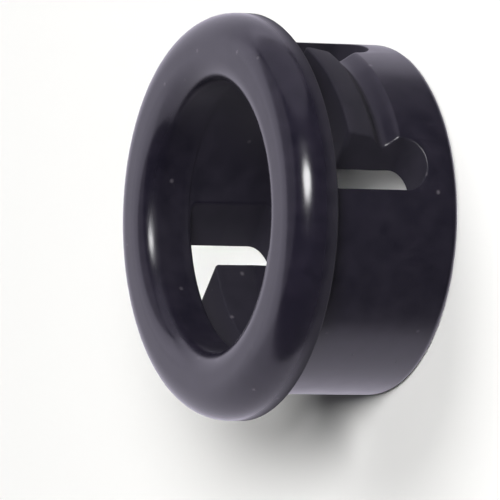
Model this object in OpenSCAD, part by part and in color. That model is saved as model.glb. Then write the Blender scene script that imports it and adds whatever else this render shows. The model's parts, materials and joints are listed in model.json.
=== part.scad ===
// Snap bushing: a one-piece moulded lining for a round hole in a panel.
// It stands on its free end, with its head up and its two snap fingers on X.

/* [Panel hole] */
// Diameter of the hole that the bushing snaps into
hole_d = 22.2; // [21.4:0.1:23.6]
// Gap all round between the barrel and the hole
hole_clearance = 0.1; // [0.05:0.05:0.4]
// Thickest panel that fits between the head and the finger tips
panel_t = 2; // [1.2:0.1:2.4]
// Play that the thickest panel still has
panel_play = 0.05; // [0.05:0.05:0.3]

/* [Head] */
// Diameter of the head
head_d = 25.4; // [25:0.1:26.2]
// Height of the head from its seat on the panel to its front
head_t = 3; // [2.6:0.05:3.6]
// Radius of the crown that rolls from the rim on to the front and from the front on towards the bore
crown_r = 2.05; // [1.75:0.05:2.3]
// Radius of the lip where the crown turns into the bore
lip_r = 1.3; // [0.9:0.05:1.3]
// Depth of the lip's centre below the front
lip_drop = 1.35; // [1.35:0.05:1.6]
// How far the lip stands proud of the crown where their arcs cross
lip_proud = 0.004; // [0.002:0.002:0.02]
// Round on the back edge of the rim
rim_round = 0.15; // [0.05:0.05:0.25]

/* [Barrel] */
// Length of the barrel from the seat to the free end
barrel_l = 9.25; // [9:0.05:12]
// Diameter of the bore at its throat in the head
bore_d = 16.8; // [16.2:0.1:17.4]
// Step by which the bore is wider behind the throat, on the radius
bore_step = 0.1; // [0.05:0.05:0.25]
// Height of that step above the slots
step_rise = 0.25; // [0.1:0.05:0.4]
// Round on the outer edge of the free end
end_round = 0.45; // [0.1:0.05:0.7]
// Chamfer on the inner edge of the free end
end_chamfer = 0.25; // [0.1:0.05:0.5]

/* [Snap fingers] */
// Width of a finger
finger_w = 8.2; // [7.6:0.1:9.2]
// Width of the slots on both sides of a finger
slot_w = 2.85; // [2:0.05:3]
// Height of the full ring that is left below the slots
heel_t = 2.05; // [1.6:0.05:2.6]
// Height of the full collar that is left between the seat and the slots
collar_t = 0.55; // [0.3:0.05:0.8]
// Round in the corners of the window at the collar
window_round = 0.4; // [0.1:0.05:0.6]
// How far a finger's locking tip stands outside the edge of the hole
tip_catch = 0.15; // [0.05:0.05:0.4]
// Length of the level land at the locking tip
tip_land = 0.4; // [0.2:0.05:0.8]
// Radius of the hinge groove across the root of a finger
groove_r = 1; // [0.8:0.05:1.1]
// Depth of the hinge groove below the barrel's surface
groove_depth = 0.75; // [0.4:0.05:0.8]
// How far the hinge groove starts above the centres of the slots' round ends
groove_rise = 0.1; // [0.05:0.05:0.3]

/* [Hidden] */
$fn = 128;

barrel_r = hole_d / 2 - hole_clearance;
tip_r = hole_d / 2 + tip_catch;
head_r = head_d / 2;
throat_r = bore_d / 2;
bore_r = throat_r + bore_step;
overall_l = barrel_l + head_t;

// The lip touches the throat and just crosses the crown.
lip_c = [throat_r + lip_r, overall_l - lip_drop];
lip_inner_r = lip_r - lip_proud;

// The crown takes its own radius, or the largest that still fits between the rim and the lip.
rim_to_lip = head_r - lip_c[0];
crown_room = rim_to_lip + lip_drop - lip_inner_r
    - sqrt(2 * (rim_to_lip - lip_inner_r) * (lip_drop - lip_inner_r));
roll_r = min(crown_r, crown_room);
roll_z = overall_l - roll_r;

// It rolls about one circle at the rim and one at the lip, with a flat front between them.
rim_roll_c = [head_r - roll_r, roll_z];
lip_reach = roll_r - lip_inner_r;
lip_roll_c = [lip_c[0] + sqrt(pow(lip_reach, 2) - pow(lip_c[1] - roll_z, 2)), roll_z];
lip_direction = (lip_c - lip_roll_c) / lip_reach;
past_roll = 2 * roll_r;

window_top = barrel_l - collar_t;
step_z = window_top + step_rise;
window_w = finger_w + 2 * slot_w;
slot_mid = (finger_w + slot_w) / 2;
hinge_z = heel_t + slot_w / 2;
tip_z = barrel_l - panel_t - panel_play;
tip_gap = window_top - tip_z;

// The groove starts just above the hinge line, and the ramp starts where the groove ends.
groove_half = sqrt(pow(groove_r, 2) - pow(groove_r - groove_depth, 2));
groove_c = [barrel_r - groove_depth + groove_r, hinge_z + groove_rise + groove_half];
ramp_foot_z = groove_c[1] + groove_half;
ramp_top_z = tip_z - tip_land;

// A square corner of the given size, less the quarter circle that rounds it.
// The corner points away from the origin towards +X and -Y.
module corner_off(size) {
    difference() {
        translate([0, -size]) square(2 * size);
        circle(r = size);
        translate([-size, 0]) square(4 * size);
    }
}

// Section of the head, from the throat to the rim
module head_section() {
    difference() {
        union() {
            translate([throat_r, step_z]) square([rim_roll_c[0] - throat_r, lip_c[1] - step_z]);
            translate([bore_r, barrel_l]) square([head_r - bore_r, roll_z - barrel_l]);
            translate(lip_c) circle(r = lip_r);
            translate(lip_roll_c) intersection() {
                circle(r = roll_r);
                polygon([[0, 0], [0, past_roll], past_roll * lip_direction]);
            }
            polygon([lip_roll_c, lip_roll_c + [0, roll_r], rim_roll_c + [0, roll_r], rim_roll_c]);
            translate(rim_roll_c) intersection() {
                circle(r = roll_r);
                square(past_roll);
            }
        }
        translate([head_r - rim_round, barrel_l + rim_round]) corner_off(rim_round);
    }
}

// Section of the barrel, from the free end up into the head
module barrel_section() {
    difference() {
        translate([bore_r, 0]) square([barrel_r - bore_r, roll_z]);
        translate([barrel_r - end_round, end_round]) corner_off(end_round);
        translate([bore_r, 0]) rotate(45) square(sqrt(2) * end_chamfer, center = true);
    }
}

// Section of the ramp that rises from the barrel's surface to the locking tip
module ramp_section() {
    sunk_r = barrel_r - groove_depth;
    trim_z = tip_z + tip_gap / 2;
    polygon([
        [sunk_r, ramp_foot_z],
        [barrel_r, ramp_foot_z],
        [tip_r, ramp_top_z],
        [tip_r, trim_z],
        [sunk_r, trim_z]
    ]);
}

// Front view of the window: the finger's room and the round ends of its two slots
module window_outline() {
    square_top = window_top - window_round;
    translate([-window_w / 2, hinge_z]) square([window_w, square_top - hinge_z]);
    translate([window_round - window_w / 2, hinge_z])
        square([window_w - 2 * window_round, window_top - hinge_z]);
    for (side = [-1, 1]) {
        translate([side * slot_mid, hinge_z]) circle(d = slot_w);
        translate([side * (window_w / 2 - window_round), square_top]) circle(r = window_round);
    }
}

// Front view of the slot: the window less the finger that stands in it
module slot_outline() {
    difference() {
        window_outline();
        translate([-finger_w / 2, 0]) square([finger_w, tip_z]);
    }
}

// The slot as a cut through the wall on +X
module slot_cut() {
    rotate([90, 0, 90]) linear_extrude(height = head_r) slot_outline();
}

// The slice of space on +X that holds a finger, out to the middle of its slots
module finger_slice() {
    translate([0, -slot_mid, 0]) cube([head_r, 2 * slot_mid, barrel_l]);
}

module bushing() {
    color("#1b191f")
    difference() {
        union() {
            rotate_extrude() {
                head_section();
                barrel_section();
            }
            for (turn = [0, 180]) rotate(turn) intersection() {
                rotate_extrude() ramp_section();
                finger_slice();
            }
        }
        for (turn = [0, 180]) rotate(turn) {
            slot_cut();
            intersection() {
                rotate_extrude() translate(groove_c) circle(r = groove_r);
                finger_slice();
            }
        }
    }
}

bushing();
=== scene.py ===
import json
import math

import bmesh
import bpy
from mathutils import Matrix, Vector


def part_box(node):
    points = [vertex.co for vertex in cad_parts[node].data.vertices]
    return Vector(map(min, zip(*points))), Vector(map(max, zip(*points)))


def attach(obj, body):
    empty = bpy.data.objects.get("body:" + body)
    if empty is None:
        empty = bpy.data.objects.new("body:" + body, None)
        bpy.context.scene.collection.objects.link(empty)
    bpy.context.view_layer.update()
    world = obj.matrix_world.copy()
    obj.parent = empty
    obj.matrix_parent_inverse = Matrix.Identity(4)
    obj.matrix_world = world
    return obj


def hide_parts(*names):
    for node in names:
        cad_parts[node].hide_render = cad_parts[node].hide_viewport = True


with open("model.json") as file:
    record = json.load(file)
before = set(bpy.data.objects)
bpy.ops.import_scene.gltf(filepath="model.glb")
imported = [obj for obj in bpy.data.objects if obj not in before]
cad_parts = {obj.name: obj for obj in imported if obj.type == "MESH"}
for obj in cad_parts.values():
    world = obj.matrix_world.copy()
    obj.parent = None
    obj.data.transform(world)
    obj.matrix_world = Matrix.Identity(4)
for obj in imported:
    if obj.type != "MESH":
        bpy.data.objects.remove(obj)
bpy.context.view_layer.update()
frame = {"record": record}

MM = 0.001
TINY = 0.0001

# Sizes in millimetres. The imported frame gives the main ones.
low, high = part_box("bushing")
mounts = {mount["name"]: mount for mount in frame["record"]["mounts"]}
head_r = (high.x - low.x) / 2 / MM
front_z = high.z / MM
seat_z = mounts["panel_seat"]["pos_m"][2] / MM
barrel_r = mounts["panel_barrel"]["dims"]["r_mm"]
throat_r = mounts["cable_bore"]["dims"]["r_mm"]

# A full collar stays between the seat and the slots. The bore is a little wider behind the throat.
collar_t = 0.55
bore_step = 0.1
step_rise = 0.25
collar_z = seat_z - collar_t
bore_r = throat_r + bore_step
step_z = collar_z + step_rise

# The head rolls from its rim to a narrow flat front and in over a lip.
crown_r = 2.05
lip_r = 1.3
lip_drop = 1.35
rim_round = 0.15
crown_z = front_z - crown_r
rim_roll = (head_r - crown_r, crown_z)
lip_centre = (throat_r + lip_r, front_z - lip_drop)
lip_reach = crown_r - lip_r
lip_roll = (lip_centre[0] + math.sqrt(lip_reach ** 2 - (lip_centre[1] - crown_z) ** 2), crown_z)
lip_turn = math.degrees(math.atan2(lip_centre[1] - lip_roll[1], lip_centre[0] - lip_roll[0]))

# The free end has a round outer edge and a chamfer at the bore.
end_round = 0.45
end_chamfer = 0.25

# Each finger stands in a U-shaped slot, on a round hinge groove, and its tip locks behind the panel.
finger_half = 4.1
slot_w = 2.85
heel_z = 2.05
heel_draft = 0.2
panel_room = 2.05
tip_rise = 0.25
tip_land = 0.4
groove_depth = 0.75
groove_half = 1.07
groove_overlap = 0.1
window_round = 0.4
tip_round = 0.25
edge_round = 0.12
window_half = finger_half + slot_w
hinge_z = heel_z + slot_w / 2
tip_z = seat_z - panel_room
tip_r = barrel_r + tip_rise
groove_z = hinge_z + groove_half
ramp_foot_z = groove_z + groove_half - groove_overlap
ramp_top_z = tip_z - tip_land

# The wall is cut into columns. The first run straight along X, as the slots do, and the rest fan out.
column_step = math.radians(1.5)
straight_columns = 40
fan_columns = 20
groove_rows = 10
straight_end = bore_r * math.sin(straight_columns * column_step)
wall_end = straight_end + fan_columns * column_step * barrel_r
sharp_angle = math.radians(35)

# Roughness of the nylon, what a full dull mark adds to it, and how far the mottle moves it.
head_roughness = 0.2
barrel_roughness = 0.3
dull_roughness = 0.5
mottle_roughness = 0.06
polish_blend = 0.2
bore_dull = 0.5

# The photograph shows the bushing lying on its side, so the camera is rolled by about a quarter turn.
view_azimuth = math.radians(40.56)
view_elevation = math.radians(27.35)
view_roll = math.radians(88.73)
view_distance = 412.0
view_lens = 474.5
view_point = Vector((0, 0, 6.0))
view_aside = (2.531, 1.993)
sideways = Vector((math.cos(view_azimuth), math.sin(view_azimuth), 0))
nearer = Vector((math.sin(view_azimuth), -math.cos(view_azimuth), 0))
upwards = Vector((0, 0, 1))
to_camera = nearer * math.cos(view_elevation) + upwards * math.sin(view_elevation)


def arc(centre, radius, start, end, steps):
    """Points of an arc by radius and height, without its first one. Angles are in degrees."""
    turns = [math.radians(start + (end - start) * i / steps) for i in range(1, steps + 1)]
    return [(centre[0] + radius * math.cos(t), centre[1] + radius * math.sin(t)) for t in turns]


def finger_radius(z):
    """Outside radius of a finger at a height: hinge groove with soft edges, ramp and level land."""
    rise = min(1, max(0, (z - ramp_foot_z) / (ramp_top_z - ramp_foot_z)))
    sunk = 0.5 + 0.5 * math.cos(math.pi * min(1, abs(z - groove_z) / groove_half))
    return barrel_r + rise * (tip_r - barrel_r) - sunk * groove_depth


def column_angle(along, radius):
    """Angle from X at which a column of the wall meets a radius."""
    if along <= straight_end:
        return math.asin(along / radius)
    first = math.asin(straight_end / radius)
    return first + (along - straight_end) / (wall_end - straight_end) * (math.pi / 2 - first)


def round_corners(bm, corners, radius, segments):
    """Rounds corners of the flat wall's outline, each given by its X and Z."""
    def at_corner(vert):
        return any(abs(vert.co.x - x) < TINY and abs(vert.co.z - z) < TINY for x, z in corners)
    found = [vert for vert in bm.verts if at_corner(vert)]
    bmesh.ops.bevel(bm, geom=found, affect="VERTICES", offset=radius, offset_type="OFFSET",
                    segments=segments, profile=0.5, material=-1, clamp_overlap=False)


def flat_wall(bm):
    """A quarter of the barrel's wall laid flat: X runs round it, Y out through it and Z up it."""
    outline = [
        (0, end_round), (wall_end, end_round), (wall_end, seat_z), (0, seat_z),
        (0, collar_z), (window_half, collar_z), (window_half, heel_z),
        (finger_half, heel_z), (finger_half, tip_z), (0, tip_z),
    ]
    bm.faces.new([bm.verts.new((x, bore_r, z)) for x, z in outline])
    round_corners(bm, [(window_half, collar_z)], window_round, segments=6)
    round_corners(bm, [(finger_half, tip_z)], tip_round, segments=4)
    round_corners(bm, [(window_half, heel_z), (finger_half, heel_z)], slot_w / 2, segments=12)
    bmesh.ops.remove_doubles(bm, verts=bm.verts[:], dist=TINY)
    grown = bmesh.ops.extrude_face_region(bm, geom=bm.faces[:])["geom"]
    outer = [item for item in grown if isinstance(item, bmesh.types.BMVert)]
    bmesh.ops.translate(bm, verts=outer, vec=(0, barrel_r - bore_r, 0))
    bmesh.ops.recalc_face_normals(bm, faces=bm.faces[:])


def lies_flat(face):
    """Tells the inside and outside of the flat wall from the faces that stand across it."""
    return abs(face.normal.y) > 0.5


def open_borders(bm):
    """Takes off the faces where the quarter meets its neighbours, the head and the free end."""
    borders = []
    for face in bm.faces:
        middle = face.calc_center_median()
        beside = min(middle.x, wall_end - middle.x, middle.z - end_round, seat_z - middle.z)
        if not lies_flat(face) and beside < TINY:
            borders.append(face)
    bmesh.ops.delete(bm, geom=borders, context="FACES")


def round_slot_edges(bm):
    """Rounds the edges between the slots and the inside and outside of the wall."""
    edges = [edge for edge in bm.edges
             if len(edge.link_faces) == 2 and len({lies_flat(face) for face in edge.link_faces}) == 2]
    bmesh.ops.bevel(bm, geom=edges, affect="EDGES", offset=edge_round, offset_type="OFFSET",
                    segments=3, profile=0.5, material=-1, clamp_overlap=True)


def cut_wall(bm, point, normal):
    """Cuts the flat wall's faces in two along a plane."""
    bmesh.ops.bisect_plane(bm, geom=bm.verts[:] + bm.edges[:] + bm.faces[:], dist=TINY,
                           plane_co=point, plane_no=normal)


def cut_columns(bm):
    """Cuts the flat wall into rows across the finger and into columns that can be bent round."""
    rows = [groove_z + groove_half * (i / groove_rows - 1) for i in range(2 * groove_rows + 1)]
    for z in rows + [ramp_top_z]:
        cut_wall(bm, (0, 0, z), (0, 0, 1))
    for i in range(1, straight_columns + 1):
        cut_wall(bm, (bore_r * math.sin(i * column_step), 0, 0), (1, 0, 0))
    for i in range(1, fan_columns):
        cut_wall(bm, (straight_end + (wall_end - straight_end) * i / fan_columns, 0, 0), (1, 0, 0))


def mark_slot_faces(bm, dull):
    """Marks the fingers and the faces that the slots leave as dull, while the wall is still flat."""
    bm.normal_update()
    for face in bm.faces:
        if not lies_flat(face):
            for vert in face.verts:
                vert[dull] = 1
    for vert in bm.verts:
        if vert.co.x < finger_half and groove_z < vert.co.z < tip_z:
            vert[dull] = 1


def mark_bore(bm, dull):
    """Marks the bore and the fingers' backs as half dull, and the lip less and less up to its crest."""
    for vert in bm.verts:
        radius = math.hypot(vert.co.x, vert.co.y)
        climb = max(0, (vert.co.z - lip_centre[1]) / lip_r)
        if radius < bore_r + TINY or (radius < lip_centre[0] and climb > 0):
            vert[dull] = max(vert[dull], bore_dull * (1 - climb) ** 2)


def mark_rim(bm, dull):
    """Marks the back edge of the rim as dull."""
    for vert in bm.verts:
        radius = math.hypot(vert.co.x, vert.co.y)
        if radius > head_r - rim_round - TINY and vert.co.z < seat_z + rim_round + TINY:
            vert[dull] = 1


def bend_wall(bm, column):
    """Bends the flat wall round the axis and shapes its ends, the finger and the slots' draft."""
    for vert in bm.verts:
        along, radius, z = vert.co
        depth = (radius - bore_r) / (barrel_r - bore_r)
        if along < finger_half + TINY and z < tip_z + TINY:
            radius += depth * (finger_radius(z) - barrel_r)
        if depth < TINY and z < end_round + TINY:
            z = end_chamfer
        if depth < TINY and z > seat_z - TINY:
            z = step_z
        if finger_half < along < window_half and heel_z - 2 * edge_round < z < hinge_z:
            z += heel_draft * (1 - depth) * (hinge_z - z) / (hinge_z - heel_z)
        vert[column] = along
        turn = column_angle(along, radius)
        vert.co = (radius * math.cos(turn), radius * math.sin(turn), z)


def mirror_wall(bm):
    """Makes the full ring of the wall from its quarter."""
    for axis in ("X", "Y"):
        bmesh.ops.mirror(bm, geom=bm.verts[:] + bm.edges[:] + bm.faces[:], matrix=Matrix.Identity(4),
                         merge_dist=TINY, axis=axis)
    bmesh.ops.remove_doubles(bm, verts=bm.verts[:], dist=TINY)


def open_ring(bm, radius, z):
    """The open edges of the wall on one circle."""
    def on_circle(vert):
        return abs(math.hypot(vert.co.x, vert.co.y) - radius) < TINY and abs(vert.co.z - z) < TINY
    borders = [edge for edge in bm.edges if edge.is_boundary]
    return [edge for edge in borders if all(on_circle(vert) for vert in edge.verts)]


def sweep_ring(bm, ring, column, profile):
    """Extrudes a ring of edges from one point of a profile to the next, along the wall's columns."""
    for radius, z in profile:
        grown = bmesh.ops.extrude_edge_only(bm, edges=ring)["geom"]
        ring = [item for item in grown if isinstance(item, bmesh.types.BMEdge) and item.is_boundary]
        for vert in [item for item in grown if isinstance(item, bmesh.types.BMVert)]:
            turn = column_angle(vert[column], radius)
            vert.co = (math.copysign(radius * math.cos(turn), vert.co.x),
                       math.copysign(radius * math.sin(turn), vert.co.y), z)


def head_profile():
    """From the barrel over the seat, rim, crown and lip, and down the throat to the wider bore."""
    profile = [(head_r - rim_round, seat_z)]
    profile += arc((head_r - rim_round, seat_z + rim_round), rim_round, -90, 0, steps=5)
    profile += [(head_r, crown_z)]
    profile += arc(rim_roll, crown_r, 0, 90, steps=24)
    profile += [(lip_roll[0], front_z)]
    profile += arc(lip_roll, crown_r, 90, lip_turn, steps=10)
    profile += arc(lip_centre, lip_r, lip_turn, 180, steps=14)
    profile += [(throat_r, (lip_centre[1] + step_z) / 2), (throat_r, step_z), (bore_r, step_z)]
    return profile


def end_profile():
    """From the barrel round its free end to the chamfer at the bore."""
    profile = arc((barrel_r - end_round, end_round), end_round, 0, -90, steps=8)
    return profile + [(bore_r + end_chamfer, 0), (bore_r, end_chamfer)]


def bushing_shape():
    """The whole bushing in millimetres, with a dull mark on its vertices."""
    bm = bmesh.new()
    column = bm.verts.layers.float.new("column")
    dull = bm.verts.layers.float.new("dull")
    flat_wall(bm)
    open_borders(bm)
    round_slot_edges(bm)
    cut_columns(bm)
    mark_slot_faces(bm, dull)
    bend_wall(bm, column)
    mirror_wall(bm)
    sweep_ring(bm, open_ring(bm, barrel_r, seat_z), column, head_profile())
    sweep_ring(bm, open_ring(bm, barrel_r, end_round), column, end_profile())
    bmesh.ops.remove_doubles(bm, verts=bm.verts[:], dist=TINY)
    bmesh.ops.recalc_face_normals(bm, faces=bm.faces[:])
    mark_bore(bm, dull)
    mark_rim(bm, dull)
    bm.verts.layers.float.remove(column)
    return bm


def shade_smooth(bm):
    """Shades the faces smooth, except across sharp edges."""
    for face in bm.faces:
        face.smooth = True
    for edge in bm.edges:
        edge.smooth = edge.calc_face_angle(0) < sharp_angle


def new_object(name, bm):
    """Puts a finished shape into the scene, at the origin."""
    mesh = bpy.data.meshes.new(name)
    bm.to_mesh(mesh)
    bm.free()
    piece = bpy.data.objects.new(name, mesh)
    bpy.context.scene.collection.objects.link(piece)
    return piece


def make_bushing():
    bm = bushing_shape()
    bmesh.ops.scale(bm, verts=bm.verts[:], vec=(MM, MM, MM))
    shade_smooth(bm)
    bushing = new_object("moulded_bushing", bm)
    weighted = bushing.modifiers.new("even_shading", "WEIGHTED_NORMAL")
    weighted.keep_sharp = True
    bushing.data.materials.append(black_nylon())
    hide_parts("bushing")
    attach(bushing, "root")


def new_material(name):
    """A new material and its shader."""
    material = bpy.data.materials.new(name)
    material.use_nodes = True
    return material, material.node_tree.nodes["Principled BSDF"]


def colour_ramp(tree, positions, colours):
    """A ramp from one colour at the first position to another at the second."""
    ramp = tree.nodes.new("ShaderNodeValToRGB")
    for element, position, colour in zip(ramp.color_ramp.elements, positions, colours):
        element.position = position
        element.color = (*colour, 1)
    return ramp


def nylon_mottle(tree, place):
    """A slight unevenness that colour and gloss share."""
    mottle = tree.nodes.new("ShaderNodeTexNoise")
    mottle.inputs["Scale"].default_value = 900
    mottle.inputs["Detail"].default_value = 6
    tree.links.new(place, mottle.inputs["Vector"])
    return mottle.outputs["Fac"]


def nylon_colour(tree, place, mottle):
    """Black with a violet cast, and a few small pale scuffs."""
    tint = colour_ramp(tree, (0.3, 0.7), ((0.007, 0.006, 0.012), (0.012, 0.010, 0.018)))
    tree.links.new(mottle, tint.inputs["Fac"])
    specks = tree.nodes.new("ShaderNodeTexVoronoi")
    specks.inputs["Scale"].default_value = 480
    tree.links.new(place, specks.inputs["Vector"])
    scuff = colour_ramp(tree, (0.02, 0.09), ((0.055, 0.05, 0.055), (0, 0, 0)))
    tree.links.new(specks.outputs["Distance"], scuff.inputs["Fac"])
    scuffed = tree.nodes.new("ShaderNodeVectorMath")
    scuffed.operation = "ADD"
    tree.links.new(tint.outputs["Color"], scuffed.inputs[0])
    tree.links.new(scuff.outputs["Color"], scuffed.inputs[1])
    return scuffed.outputs["Vector"]


def nylon_roughness(tree, place, mottle):
    """Satin on the head, a little duller on the barrel, and matt where the dull mark is."""
    height = tree.nodes.new("ShaderNodeSeparateXYZ")
    tree.links.new(place, height.inputs["Vector"])
    polish = tree.nodes.new("ShaderNodeMapRange")
    polish.inputs["From Min"].default_value = (seat_z - polish_blend) * MM
    polish.inputs["From Max"].default_value = (seat_z + polish_blend) * MM
    polish.inputs["To Min"].default_value = barrel_roughness
    polish.inputs["To Max"].default_value = head_roughness
    tree.links.new(height.outputs["Z"], polish.inputs["Value"])
    dull = tree.nodes.new("ShaderNodeAttribute")
    dull.attribute_name = "dull"
    matt = tree.nodes.new("ShaderNodeMath")
    matt.operation = "MULTIPLY_ADD"
    matt.inputs[1].default_value = dull_roughness
    tree.links.new(dull.outputs["Fac"], matt.inputs[0])
    tree.links.new(polish.outputs["Result"], matt.inputs[2])
    uneven = tree.nodes.new("ShaderNodeMapRange")
    uneven.inputs["To Min"].default_value = -mottle_roughness
    uneven.inputs["To Max"].default_value = mottle_roughness
    tree.links.new(mottle, uneven.inputs["Value"])
    roughness = tree.nodes.new("ShaderNodeMath")
    roughness.operation = "ADD"
    tree.links.new(matt.outputs["Value"], roughness.inputs[0])
    tree.links.new(uneven.outputs["Result"], roughness.inputs[1])
    return roughness.outputs["Value"]


def nylon_grain(tree, place):
    """A fine grain of the moulded surface."""
    grain = tree.nodes.new("ShaderNodeTexNoise")
    grain.inputs["Scale"].default_value = 4000
    grain.inputs["Detail"].default_value = 3
    tree.links.new(place, grain.inputs["Vector"])
    bump = tree.nodes.new("ShaderNodeBump")
    bump.inputs["Strength"].default_value = 0.15
    bump.inputs["Distance"].default_value = 0.01 * MM
    tree.links.new(grain.outputs["Fac"], bump.inputs["Height"])
    return bump.outputs["Normal"]


def black_nylon():
    """Black moulded nylon with a satin finish."""
    material, shader = new_material("black_nylon")
    tree = material.node_tree
    place = tree.nodes.new("ShaderNodeTexCoord").outputs["Object"]
    mottle = nylon_mottle(tree, place)
    shader.inputs["IOR"].default_value = 1.53
    tree.links.new(nylon_colour(tree, place, mottle), shader.inputs["Base Color"])
    tree.links.new(nylon_roughness(tree, place, mottle), shader.inputs["Roughness"])
    tree.links.new(nylon_grain(tree, place), shader.inputs["Normal"])
    return material


def pale_floor():
    """Pale matt floor without any gloss."""
    material, shader = new_material("pale_floor")
    shader.inputs["Base Color"].default_value = (0.93, 0.925, 0.91, 1)
    shader.inputs["Roughness"].default_value = 0.9
    shader.inputs["Specular IOR Level"].default_value = 0
    return material


def make_floor():
    bm = bmesh.new()
    bmesh.ops.create_grid(bm, x_segments=1, y_segments=1, size=4)
    floor = new_object("floor", bm)
    floor.data.materials.append(pale_floor())
    floor.visible_glossy = False
    floor.visible_shadow = False


def new_light(name, lamp):
    """Puts a lamp into the scene that the camera doesn't see."""
    light = bpy.data.objects.new(name, lamp)
    light.visible_camera = False
    bpy.context.scene.collection.objects.link(light)
    return light


def soft_light(name, direction, distance, across, brightness, tall=1.0):
    """A soft oval light that faces the bushing, as bright as a surface of that radiance."""
    lamp = bpy.data.lights.new(name, "AREA")
    lamp.shape = "ELLIPSE"
    lamp.size = across
    lamp.size_y = across * tall
    lamp.energy = brightness * math.pi * math.pi * (across / 2) ** 2 * tall
    light = new_light(name, lamp)
    light.location = view_point * MM + direction.normalized() * distance
    light.rotation_euler = direction.to_track_quat("Z", "Y").to_euler()
    return light


def floor_light(name, place, height, across, energy):
    """A small round light straight above a place on the floor, with a soft edge."""
    lamp = bpy.data.lights.new(name, "SPOT")
    lamp.energy = energy
    lamp.spot_size = 2 * math.atan(across / 2 / height)
    lamp.spot_blend = 1
    lamp.shadow_soft_size = across / 10
    light = new_light(name, lamp)
    light.location = place + upwards * height
    return light


def make_lamps():
    """Lamps for the floor and its shadows, which the gloss doesn't show."""
    beside = nearer * 1.4 + sideways * 0.42 + upwards
    above = nearer * -0.15 + sideways * 0.75 + upwards
    behind = (nearer * -20 - sideways * 3.5) * MM
    lamps = [
        soft_light("key", beside, distance=0.9, across=0.36, brightness=33),
        soft_light("sky", above, distance=0.9, across=0.7, brightness=3.6),
        floor_light("behind", behind, height=0.1, across=0.021, energy=0.21),
    ]
    for lamp in lamps:
        lamp.visible_glossy = False


def make_softboxes():
    """Softboxes that only the gloss shows: three wide cool ones and a small bright one in front."""
    wall = -nearer - sideways * 0.3 - upwards * 0.2
    overhead = nearer * -0.35 + sideways * 0.2 + upwards * 0.91
    ceiling = sideways + upwards * 0.15
    front = nearer * 0.8 + sideways * 0.32 + upwards * 0.54
    cool = [
        soft_light("wall", wall, distance=0.3, across=4, brightness=0.92),
        soft_light("overhead", overhead, distance=0.6, across=0.84, brightness=0.4),
        soft_light("ceiling", ceiling, distance=0.6, across=0.8, brightness=0.5),
    ]
    for softbox in cool:
        softbox.data.color = (1.04, 0.98, 1.18)
    bright = soft_light("front", front, distance=0.7, across=0.21, brightness=22, tall=1.45)
    for softbox in cool + [bright]:
        softbox.visible_diffuse = False


def make_room():
    """A dim room all round. The camera itself sees a pale wall."""
    dim, pale = 0.05, 1.0
    world = bpy.data.worlds.new("room")
    bpy.context.scene.world = world
    world.use_nodes = True
    nodes, links = world.node_tree.nodes, world.node_tree.links
    path = nodes.new("ShaderNodeLightPath")
    seen = nodes.new("ShaderNodeMix")
    seen.inputs["A"].default_value = dim
    seen.inputs["B"].default_value = pale
    links.new(path.outputs["Is Camera Ray"], seen.inputs["Factor"])
    links.new(seen.outputs["Result"], nodes["Background"].inputs["Strength"])
    nodes["Background"].inputs["Color"].default_value = (1, 1, 1, 1)


def make_camera():
    """A long lens at the photograph's angle, aimed a little aside, as the photograph is framed."""
    right = sideways * math.cos(view_roll) - to_camera.cross(sideways) * math.sin(view_roll)
    above = to_camera.cross(right)
    place = view_point + to_camera * view_distance
    aim = view_point - right * view_aside[0] - above * view_aside[1]
    back = (place - aim).normalized()
    above = back.cross(right).normalized()
    right = above.cross(back)
    camera = bpy.data.objects.new("camera", bpy.data.cameras.new("camera"))
    camera.data.lens = view_lens
    camera.data.sensor_width = 36
    camera.data.clip_start = 0.01
    camera.data.clip_end = 20
    turn = Matrix((right, above, back)).transposed().to_4x4()
    camera.matrix_world = Matrix.Translation(place * MM) @ turn
    bpy.context.scene.collection.objects.link(camera)
    bpy.context.scene.camera = camera
    bpy.context.scene.view_settings.view_transform = "Standard"


make_bushing()
make_floor()
make_lamps()
make_softboxes()
make_room()
make_camera()
